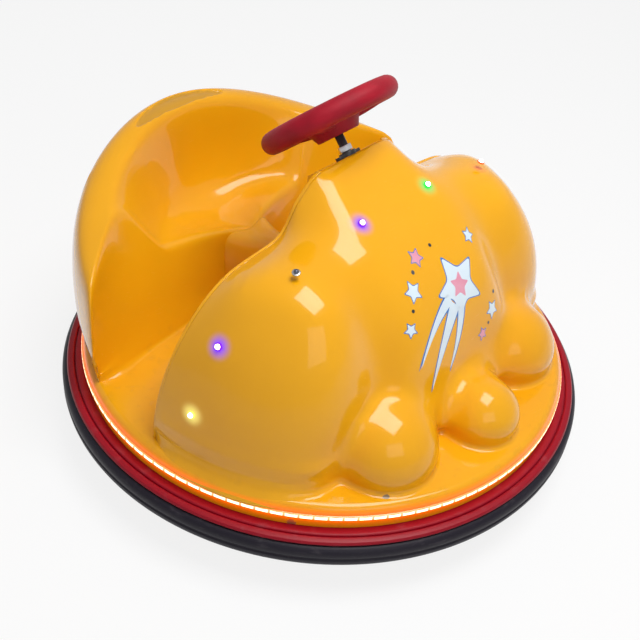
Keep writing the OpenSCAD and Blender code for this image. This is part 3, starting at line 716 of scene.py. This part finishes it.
# Chips in the skirt: place, radius, colour underneath
CHIPS = (((-0.434, -0.3, 0.144), 0.009, (0.2, 0.13, 0.09, 1)),
         ((-0.312, 0.425, 0.146), 0.006, (0.3, 0.2, 0.1, 1)))
# Cracks in the shell's foot: place, radius, colour underneath
CRACKS = (((-0.294, -0.407, 0.19), 0.0065, (0.24, 0.15, 0.06, 1)),
          ((0.33, -0.375, 0.19), 0.005, (0.3, 0.17, 0.05, 1)))


def star(bm, place, size, turn):
    """A flat five-pointed star with rounded points."""
    verts = bmesh.ops.create_circle(bm, cap_ends=True, segments=10, radius=size)["verts"]
    for v in verts[1::2]:
        v.co *= 0.5
    bmesh.ops.rotate(bm, cent=(0, 0, 0), matrix=Matrix.Rotation(math.radians(turn), 3, "Z"), verts=verts)
    bmesh.ops.translate(bm, vec=(*place, 0), verts=verts)
    bmesh.ops.bevel(bm, geom=verts, offset=size * 0.12, offset_type="OFFSET", affect="VERTICES", segments=4,
                    profile=0.5, material=-1, clamp_overlap=True)


def tail(bm, size, reach, start, bend, wide):
    """A tapered stripe that sweeps away from the large star."""
    made = bmesh.ops.create_grid(bm, x_segments=16, y_segments=1, size=0.5)["verts"]
    for v in made:
        along = v.co.x + 0.5
        across = v.co.y * 2 * wide * (1 - along) ** 0.7
        out = size * 0.6 + (reach - size * 0.1) * along
        angle = math.radians(start)
        line = Vector((math.cos(angle), math.sin(angle)))
        side = Vector((-line.y, line.x))
        v.co.xy = Vector(STAR_AT) + line * out + side * (across + bend * along * along)


def laid_on_panel(bm, proud):
    """Cuts a flat print into small faces and lays it on the cowl, a little proud of it."""
    step = 0.006
    for axis in (0, 1):
        for i in range(-34, 35):
            at, way = [0, 0, 0], [0, 0, 0]
            at[axis] = i * step
            way[axis] = 1
            bmesh.ops.bisect_plane(bm, geom=[*bm.verts, *bm.edges, *bm.faces], dist=1e-6, plane_co=at,
                                   plane_no=way)
    graph = bpy.context.evaluated_depsgraph_get()
    tree = BVHTree.FromObject(bpy.data.objects["cowl_shell"], graph)
    for v in bm.verts:
        start = PANEL_AT + Vector((v.co.x, 0, 0)) + PANEL_UP * v.co.y + PANEL_OUT * 0.2
        hit, normal, _, _ = tree.ray_cast(start, -PANEL_OUT)
        if hit is None:
            raise RuntimeError("the print doesn't lie on the cowl")
        v.co = hit + normal * proud
    bmesh.ops.recalc_face_normals(bm, faces=bm.faces)
    bm.normal_update()
    if sum(f.normal.dot(PANEL_OUT) * f.calc_area() for f in bm.faces) < 0:
        bmesh.ops.reverse_faces(bm, faces=bm.faces)


def seen_rays(wire):
    """1 for what the camera sees, directly or in metal and glass, and 0 for the light on the car."""
    path = wire.node("ShaderNodeLightPath").socket.node.outputs
    kinds = ("Camera", "Glossy", "Transmission")
    camera, gloss, glass = (Wire(wire.tree, path[f"Is {kind} Ray"]) for kind in kinds)
    return wire.math("MAXIMUM", camera, wire.math("MAXIMUM", gloss, glass))


def ground_finish(colour):
    """Pale floor that the camera sees near white, with the car's shadow kept."""
    look = Finish("ground_paper", Roughness=0.9, Base_Color=four(colour))
    glow = look.wire.node("ShaderNodeEmission", {}, {"Color": (1, 1, 1, 1), "Strength": 1.0}, out="Emission")
    paper = Wire(look.tree, look.shader.outputs[0])
    both = look.wire.node("ShaderNodeMixShader", {}, {0: seen_rays(look.wire) * 0.84, 1: paper, 2: glow})
    look.tree.links.new(both.socket, look.tree.nodes["Material Output"].inputs["Surface"])
    return look.material


def area_light(name, at, aim, size, power):
    lamp = bpy.data.lights.new(name, "AREA")
    lamp.shape = "RECTANGLE"
    lamp.size, lamp.size_y = size
    lamp.energy = power
    made = placed(name, lamp)
    made.location = at
    made.rotation_euler = (Vector(aim) - Vector(at)).to_track_quat("-Z", "Y").to_euler()


# The camera's azimuth, elevation and roll, what it aims at, its distance, and its shift in pixels
CAMERA_TURN = (-53.0, 40.5, 6.5)
CAMERA_AIM, CAMERA_AWAY = (0, 0, 0.132), 2.2656
CAMERA_SHIFT, FRAME_PX = (-3.1, 25.5), 640


def photo_camera():
    """The photograph's camera: its angle, tilt, distance and framing."""
    azimuth, elevation, roll = (math.radians(a) for a in CAMERA_TURN)
    back = Vector((math.sin(azimuth) * math.cos(elevation), -math.cos(azimuth) * math.cos(elevation),
                   math.sin(elevation)))
    right = Vector((math.cos(azimuth), math.sin(azimuth), 0))
    up = back.cross(right)
    side = math.cos(roll) * right + math.sin(roll) * up
    top = math.cos(roll) * up - math.sin(roll) * right
    data = bpy.data.cameras.new("photo")
    data.lens = 56.25
    data.sensor_width = 36
    data.shift_x, data.shift_y = (s / FRAME_PX for s in CAMERA_SHIFT)
    camera = placed("photo", data)
    turn = Matrix((side, top, back)).transposed().to_4x4()
    camera.matrix_world = Matrix.Translation(Vector(CAMERA_AIM) + back * CAMERA_AWAY) @ turn
    bpy.context.scene.camera = camera


def looks():
    return bpy.context.scene.car_looks


def shell():
    return bpy.data.materials.get("shell_gelcoat") or gelcoat(looks(), chips=CRACKS)


class PieceOperator:
    """What the operators share: each builds its pieces once and raises if it can't."""
    bl_options = {"REGISTER", "UNDO"}

    def execute(self, context):
        self.build(looks())
        return {"FINISHED"}


class CAR_OT_cowl(PieceOperator, bpy.types.Operator):
    """Smooth moulded cowl with soft fillets where it meets the floor"""
    bl_idname = "car.cowl"
    bl_label = "Cowl"

    def build(self, look):
        bm = copy_of("cowl")
        skin = outer_skin(bm, COWL_HEART)
        bmesh.ops.delete(bm, geom=[f for f in bm.faces if f not in skin], context="FACES")
        quads(bm)
        corners_closed(bm)
        sides_dropped(bm)
        foot = [e for e in bm.edges if e.is_boundary and all(v.co.z < FLOOR_Z + ON_FLOOR for v in e.verts)]
        lifted(bm, look.foot_fillet)
        flare(bm, foot, look.foot_fillet)
        for place, reaches in HOLLOWS:
            eased(bm, place, reaches, 4)
        made = piece("cowl_shell", bm, "body", [shell()], ["cowl"], smooth=80)
        subdivided(made, 2)
        thickened(made, 0.004)


class CAR_OT_seat(PieceOperator, bpy.types.Operator):
    """One moulded seat: tub, rounded lip and front wall in a single skin"""
    bl_idname = "car.seat"
    bl_label = "Seat"

    def build(self, look):
        bm = copy_of("seat_tub")
        rim = [f for f in bm.faces if all(on_front(v.co) for v in f.verts)
               or all(v.co.z < FLOOR_Z + 0.0011 for v in f.verts)]
        bmesh.ops.delete(bm, geom=rim, context="FACES")
        groups = sorted(islands(bm), key=lambda g: max(v.co.z for f in g for v in f.verts))
        bmesh.ops.delete(bm, geom=[f for g in groups[:-1] for f in g], context="FACES")
        for v in bm.verts:
            if on_front(v.co):
                v.co.y -= WALL
        front = copy_of("seat_front")
        front.normal_update()
        bmesh.ops.delete(front, geom=[f for f in front.faces if f.normal.y > -0.45], context="FACES")
        bm = joined(bm, front)
        bmesh.ops.remove_doubles(bm, verts=bm.verts, dist=0.0004)
        quads(bm)
        bmesh.ops.recalc_face_normals(bm, faces=bm.faces)
        foot = [e for e in bm.edges if e.is_boundary and e.verts[0].co.y < 0.26
                and abs(e.verts[0].co.x) < ARM_OUT - 0.012
                and all(v.co.z < FLOOR_Z + 0.0015 for v in e.verts)]
        flare(bm, foot, look.foot_fillet)
        made = piece("seat_shell", bm, "body", [shell()], ["seat_tub", "seat_front"], smooth=80)
        subdivided(made, 2)
        drawn_in(settled(made))
        pressed_lens(made.data)
        thickened(made, 0.004)
        self.tunnel(look)

    def tunnel(self, look):
        """The tunnel between the foot-wells, run on into the seat's front wall."""
        bm = copy_of("seat_tunnel")
        bm.normal_update()
        rims = []
        for f in bm.faces:
            centre = f.calc_center_median()
            inward = f.normal.dot(centre - Vector((0, centre.y, FLOOR_Z))) < 0
            if inward or abs(f.normal.y) > 0.8 or f.normal.z < -0.8:
                rims.append(f)
        bmesh.ops.delete(bm, geom=rims, context="FACES")
        quads(bm)
        foot = [e for e in bm.edges if e.is_boundary and all(v.co.z < FLOOR_Z + 0.0015 for v in e.verts)]
        flare(bm, foot, look.foot_fillet)
        rear = {v for e in bm.edges if e.is_boundary for v in e.verts
                if v.co.y > 0.15 and v.co.z > FLOOR_Z + 0.004}
        for v in rear:
            v.co.y += 0.005
        made = piece("seat_tunnel_shell", bm, "body", [shell()], ["seat_tunnel"], smooth=80)
        subdivided(made, 2)
        thickened(made, 0.004)


class CAR_OT_base(PieceOperator, bpy.types.Operator):
    """Skirt with its rounded shoulder, floor, bulkhead and dash"""
    bl_idname = "car.base"
    bl_label = "Base"

    def build(self, look):
        # The skirt's gelcoat carries the painted glow and painted shade of the light strip.
        edge = gelcoat(look, "skirt_gelcoat", painted_strip_glow=True, chips=CHIPS)
        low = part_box("skirt")[0].z / MM
        ledge = SEAT_FOOT / MM - 14
        body, top, bend = BODY_R / MM, FLOOR_Z / MM, SHOULDER_R / MM
        turn = arc(body - bend, top - bend, bend, range(0, 91, 9))
        wall = WALL / MM
        inner = [(r - wall if r > body - bend else r, z - wall) for r, z in (turn[-1], turn[5], turn[0])]
        lip = 200
        skirt = spun([(body, low), *turn, (lip, top + 0.25), (lip, top + 0.05), (ledge, top + 0.05),
                      (ledge, top - wall), *inner, (body - wall, low)], RING_STEPS)
        skirt.normal_update()
        for f in skirt.faces:
            centre = f.calc_center_median()
            inward = f.normal.dot(Vector((centre.x, centre.y, 0)).normalized()) < -0.1
            f.material_index = 1 if inward or f.normal.z < -0.1 else 0
        piece("skirt_shell", skirt, "body", [edge, shell()], ["skirt"], smooth=40)
        for node, width in (("bulkhead", 0.0024), ("dash_panel", 0.012), ("floor_pan", 0.0008)):
            bm = flat_faces(copy_of(node))
            if node == "dash_panel":
                self.narrowed(bm)
            rounded(bm, width, 3)
            piece(node + "_shell", bm, "body", [shell()], [node], smooth=40)

    def narrowed(self, bm):
        """Draws the dash in towards its rear, so that it hides behind the pedestal."""
        low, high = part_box("dash_panel")
        for v in bm.verts:
            back = (v.co.y - low.y) / (high.y - low.y)
            v.co.x *= 1 - 0.6 * back


class CAR_OT_bumper(PieceOperator, bpy.types.Operator):
    """Rubber bumper ring and its red band, each with a groove, and the light strip"""
    bl_idname = "car.bumper"
    bl_label = "Bumper"

    def build(self, look):
        low, high = (c / MM for c in (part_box("bumper_tyre")[0].z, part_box("bumper_tyre")[1].z))
        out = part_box("bumper_tyre")[1].x / MM
        inside = BODY_R / MM + 0.2
        bead = 16
        bottom = arc(out - bead, low + bead, bead, range(-90, 1, 15))
        over = arc(out - bead, high - bead, bead, range(0, 61, 12))
        mid = (low + high) / 2
        groove = [(out, mid - 4), (out - 2.2, mid - 2), (out - 2.2, mid + 2), (out, mid + 4)]
        tyre = spun([(inside, low + 8), (inside + 8, low), *bottom, *groove, *over, (inside + 34, high),
                     (inside, high)], RING_STEPS)
        rounded(tyre, 0.0008, 2, 30)
        black = rubber("bumper_black_rubber", look.bumper_black, (0.085, 0.075, 0.085), 0.44)
        piece("bumper_rubber", tyre, "body", [black], ["bumper_tyre"])
        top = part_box("bumper_band")[1].z / MM
        rise = top - high
        line = ((34, 0), (37, 0.4), (34, 0.8), (24, 0.95), (21.4, 0.82), (20.6, 0.5), (19.4, 0.5),
                (18.6, 0.86))
        band = spun([(inside, high), *((inside + r, high + rise * up) for r, up in line), (inside + 16, top),
                     (inside, top)], RING_STEPS)
        rounded(band, 0.0012, 2, 24)
        red = rubber("bumper_red_rubber", look.bumper_red, (0.3, 0.07, 0.09), 0.36)
        piece("bumper_band_red", band, "body", [red], ["bumper_band"])
        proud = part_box("light_strip")[1].x / MM - BODY_R / MM
        start, end = STRIP_LOW / MM, STRIP_TOP / MM
        body = BODY_R / MM
        strip = spun([(body + 0.05, start), (body + proud * 0.7, start + 0.3), (body + proud, start + 2.4),
                      (body + proud, end - 2.4), (body + proud * 0.7, end - 0.3), (body + 0.05, end)], 336)
        glow = strip_light(look.strip_glow)
        piece("light_strip_sleeve", strip, "body", [glow], ["light_strip"], smooth=60)


class CAR_OT_lights(PieceOperator, bpy.types.Operator):
    """Marker lights in their bezels, each in its own colour, with painted glow on the bezels of the lit ones
    """
    bl_idname = "car.lights"
    bl_label = "Marker lights"

    def build(self, look):
        order = list(LIGHT_COLOURS)
        finishes = []
        rings = [plated("bezel_chrome", (0.5, 0.49, 0.48), 0.1)]
        for name in order:
            finishes.append(lit(name + "_lens_core", LIGHT_COLOURS[name], look.light_glow, 0.8))
            finishes.append(lit(name + "_lens_edge", LIGHT_COLOURS[name], 6.0, 0.85))
            # Painted glow: the bezel ring of each lit light emits that light's colour as if lit by its lens;
            # the ring itself is no lamp.
            rings.append(lit(name + "_bezel", LIGHT_COLOURS[name], 1.05, 0.0))
        finishes.append(plated("unlit_lens", (0.12, 0.13, 0.17), 0.08))
        lenses = copy_of("marker_lights")
        for group in islands(lenses):
            centre = middle_of(group)
            tip = (centre - COWL_HEART).normalized()
            far = max(f.calc_center_median().dot(tip) for f in group)
            colour = light_colour(centre)
            for f in group:
                depth = far - f.calc_center_median().dot(tip)
                lens = len(finishes) - 1 if colour is None else 2 * order.index(colour) + (depth > 0.0016)
                f.material_index = lens
        piece("marker_lenses", lenses, "body", finishes, ["marker_lights"], smooth=50)
        bezels = flat_faces(copy_of("light_bezels"))
        rounded(bezels, 0.0012, 3)
        for group in islands(bezels):
            colour = light_colour(middle_of(group))
            for f in group:
                f.material_index = 1 + order.index(colour) if colour else 0
        piece("light_bezel_rings", bezels, "body", rings, ["light_bezels"])


class CAR_OT_steering(PieceOperator, bpy.types.Operator):
    """Padded steering wheel with a dished hub, its cap, shaft, nut and flange"""
    bl_idname = "car.steering"
    bl_label = "Steering"

    def build(self, look):
        place = joint_place("steering_turn")
        level = place.inverted()
        height = [(level @ v.co).z / MM for v in frame["nodes"]["steering_wheel"].data.vertices]
        reach = max((level @ v.co).xy.length for v in frame["nodes"]["steering_wheel"].data.vertices) / MM
        top = max(height)
        low = min(height)
        grip = 22
        mid = top - grip
        middle = reach - grip
        rim = spun(arc(middle, mid, grip, range(0, 360, 15)), 96)
        hub = spun([(0, low), (42, low), (44, low + 2), (51, low + 16), (56, low + 22), (56, mid - 7),
                    (53, mid - 4), (0, mid - 4)], 64)
        rounded(hub, 0.002, 2, 26)
        parts = [hub]
        for i in range(3):
            spoke = bmesh.new()
            bmesh.ops.create_cube(spoke, size=1.0)
            bmesh.ops.scale(spoke, vec=((middle - 30) * MM, 0.034, 0.021), verts=spoke.verts)
            long = [e for e in spoke.edges if abs(e.verts[0].co.x - e.verts[1].co.x) > 0.01]
            bmesh.ops.subdivide_edges(spoke, edges=long, cuts=4)
            for v in spoke.verts:
                out = v.co.x / ((middle - 30) * MM) + 0.5
                v.co.y *= 1.25 - 0.75 * out + 0.55 * out * out
                v.co.z += 0.009 * out * out
            rounded(spoke, 0.007, 3, 40)
            bmesh.ops.translate(spoke, vec=((middle + 30) / 2 * MM, 0, (mid - 17) * MM), verts=spoke.verts)
            turn = Matrix.Rotation(math.radians(90 + 120 * i), 3, "Z")
            bmesh.ops.rotate(spoke, cent=(0, 0, 0), matrix=turn, verts=spoke.verts)
            parts.append(spoke)
        wheel = joined(rim, *parts)
        bmesh.ops.transform(wheel, matrix=place, verts=wheel.verts)
        red = grained("wheel_padding", look.wheel_red)
        piece("steering_wheel_padded", wheel, "steering", [red], ["steering_wheel"])
        black = painted("steering_black", (0.016, 0.016, 0.019), 0.3)
        zinc = plated("zinc_plate", (0.72, 0.73, 0.75))
        for node, body, slot, finish, width in (
                ("wheel_cap", "steering", "grip_red", red, 0.003),
                ("steering_shaft", "steering", "black_steel", black, 0.001),
                ("shaft_nut", "steering", "zinc", zinc, 0.0012),
                ("column_flange", "body", "black_steel", black, 0.0016)):
            dressed(node, body, finish, width)


class CAR_OT_fittings(PieceOperator, bpy.types.Operator):
    """Pedal, switch, charging socket and battery"""
    bl_idname = "car.fittings"
    bl_label = "Fittings"

    def build(self, look):
        black = grained("fitting_black", (0.026, 0.026, 0.03), 800, 0.5)
        case = grained("battery_case", (0.05, 0.053, 0.06), 500, 0.55)
        red = grained("switch_red", (0.45, 0.012, 0.02), 900, 0.3)
        for node, slot, finish, width in (
                ("foot_pedal", "black_plastic", black, 0.003), ("power_switch", "red_plastic", red, 0.0012),
                ("charge_socket", "black_plastic", black, 0.001), ("battery", "black_plastic", case, 0.003)):
            dressed(node, "body", finish, width)


class CAR_OT_running_gear(PieceOperator, bpy.types.Operator):
    """Frame, fork, motor, axles and wheels under the floor"""
    bl_idname = "car.running_gear"
    bl_label = "Running gear"

    def build(self, look):
        steel = painted("frame_paint", (0.06, 0.062, 0.068))
        zinc = bpy.data.materials["zinc_plate"]
        cast = plated("motor_case", (0.42, 0.42, 0.44), 0.42)
        for node, body, slot, finish, width in (
                ("chassis_ring", "body", "frame_paint", steel, 0.003),
                ("cross_members", "body", "frame_paint", steel, 0.003),
                ("steering_head", "body", "frame_paint", steel, 0.0015),
                ("rear_brackets", "body", "frame_paint", steel, 0.0015),
                ("rear_axles", "body", "zinc", zinc, 0.001),
                ("kingpin", "front_fork", "zinc", zinc, 0.001),
                ("fork", "front_fork", "frame_paint", steel, 0.002),
                ("drive_motor", "front_fork", "motor_case", cast, 0.003),
                ("drive_axle", "front_fork", "zinc", zinc, 0.001)):
            dressed(node, body, finish, width)
        rubber_black = rubber("tyre_rubber", (0.02, 0.02, 0.021), (0.1, 0.092, 0.08), 0.62)
        rim = grained("rim_plastic", (0.5, 0.5, 0.5), 700, 0.45)
        for wheel in ("drive", "rear_left", "rear_right"):
            dressed(wheel + "_rim", wheel + "_wheel", rim, 0.0012)
            tread(wheel + "_tyre", wheel + "_wheel", rubber_black)


class CAR_OT_star_print(PieceOperator, bpy.types.Operator):
    """Printed shooting star with a tail and small stars on the cowl's front panel"""
    bl_idname = "car.star_print"
    bl_label = "Star print"

    def build(self, look):
        blue = printed("print_blue", (0.012, 0.16, 0.52))
        white = printed("print_white", (0.72, 0.84, 0.93))
        pink = printed("print_pink", (0.8, 0.3, 0.42))
        black = printed("print_black", (0.012, 0.012, 0.014))
        size = look.star_size
        under, over, rose, dots = bmesh.new(), bmesh.new(), bmesh.new(), bmesh.new()
        for reach, start, bend, wide in TAILS:
            tail(under, size, reach + 0.007, start, bend, wide + 0.0035)
            tail(over, size, reach, start, bend, wide)
        star(under, STAR_AT, size + 0.005, 14)
        star(over, STAR_AT, size, 14)
        star(rose, STAR_AT, size * 0.42, 50)
        for place, small, turn, rosy in SMALL_STARS:
            star(under, place, small + 0.0035, turn)
            star(rose if rosy else over, place, small, turn)
        for place, wide in DOTS:
            disc = bmesh.ops.create_circle(dots, cap_ends=True, segments=20, radius=wide)["verts"]
            bmesh.ops.translate(dots, vec=(*place, 0), verts=disc)
        for name, bm, finish, proud in (
                ("print_outline", under, blue, 0.00025), ("print_stars", over, white, 0.0004),
                ("print_stars_pink", rose, pink, 0.00055), ("print_dots", dots, black, 0.0004)):
            laid_on_panel(bm, proud)
            piece(name, bm, "body", [finish], smooth=80)


class CAR_OT_stage(PieceOperator, bpy.types.Operator):
    """Pale floor, soft studio light and the camera"""
    bl_idname = "car.stage"
    bl_label = "Stage"

    def build(self, look):
        stage = bpy.context.scene.stage_looks
        ground = bpy.data.meshes.new("ground")
        bm = bmesh.new()
        bmesh.ops.create_grid(bm, x_segments=2, y_segments=2, size=14)
        bm.to_mesh(ground)
        bm.free()
        floor = placed("ground", ground)
        ground.materials.append(ground_finish(stage.ground))
        world = bpy.data.worlds.new("studio")
        bpy.context.scene.world = world
        world.use_nodes = True
        back = world.node_tree.nodes["Background"]
        back.inputs["Color"].default_value = (1, 1, 1, 1)
        strength = seen_rays(Wire(world.node_tree)) * (stage.backdrop - stage.sky) + stage.sky
        world.node_tree.links.new(strength.socket, back.inputs["Strength"])
        area_light("key", (0.1, -0.7, 3.2), (0, -0.1, 0.3), (1.8, 1.45), stage.key_power)
        area_light("fill", (-1.6, -2.9, 2.4), (0, -0.1, 0.3), (2.2, 1.6), stage.fill_power)
        photo_camera()
        bpy.context.scene.view_settings.view_transform = "Standard"


class CAR_PT_looks(bpy.types.Panel):
    """Lists the car's sizes, colours and pieces"""
    bl_idname = "CAR_PT_looks"
    bl_label = "Bumper car"
    bl_space_type = "VIEW_3D"
    bl_region_type = "UI"
    bl_category = "Bumper car"

    def draw(self, context):
        for group in (context.scene.car_looks, context.scene.stage_looks):
            for key in group.__annotations__:
                self.layout.prop(group, key)
        for operator in OPERATORS:
            self.layout.operator(operator.bl_idname)


OPERATORS = (CAR_OT_cowl, CAR_OT_seat, CAR_OT_base, CAR_OT_bumper, CAR_OT_lights, CAR_OT_steering,
             CAR_OT_fittings, CAR_OT_running_gear, CAR_OT_star_print, CAR_OT_stage)
CLASSES = (CarLooks, StageLooks, *OPERATORS, CAR_PT_looks)


def register():
    for cls in CLASSES:
        bpy.utils.register_class(cls)
    bpy.types.Scene.car_looks = bpy.props.PointerProperty(type=CarLooks)
    bpy.types.Scene.stage_looks = bpy.props.PointerProperty(type=StageLooks)


def unregister():
    del bpy.types.Scene.stage_looks
    del bpy.types.Scene.car_looks
    for cls in reversed(CLASSES):
        bpy.utils.unregister_class(cls)


def main():
    register()
    for operator in OPERATORS:
        group, name = operator.bl_idname.split(".")
        getattr(getattr(bpy.ops, group), name)()


if __name__ == "__main__":
    main()
